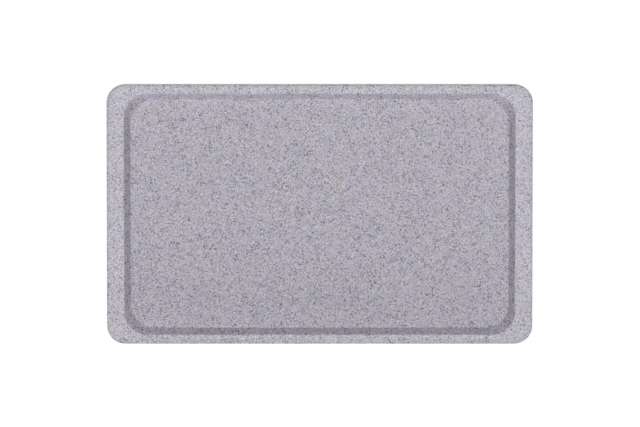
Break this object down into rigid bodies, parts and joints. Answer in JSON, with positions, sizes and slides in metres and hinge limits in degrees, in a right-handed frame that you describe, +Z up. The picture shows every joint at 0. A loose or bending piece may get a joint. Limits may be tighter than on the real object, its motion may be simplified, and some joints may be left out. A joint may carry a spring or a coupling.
{
  "type": "gastronorm tray",
  "caption": "Flat rectangular serving tray with a shallow well, a sloping wall and a flat rim that is wider at the short ends, pressed in speckled polyester.",
  "frame": {"origin": "centre of the underside, on the surface that the tray stands on", "axes": "+X along the tray's length, +Y across its width, +Z up out of the well"},
  "size_m": [0.53, 0.325, 0.014],
  "materials": {
    "decor": "satin polyester with a fine grey-lilac granite speckle",
    "core": "plain grey glass-fibre polyester moulding",
    "backing": "matt grey polyester with a faint speckle"
  },
  "bodies": {
    "root": {"decor_overlay": "decor", "glass_fibre_core": "core", "backing_sheet": "backing", "stacking_lug_front_left": "core", "stacking_lug_front_right": "core", "stacking_lug_back_left": "core", "stacking_lug_back_right": "core"}
  },
  "joints": []
}
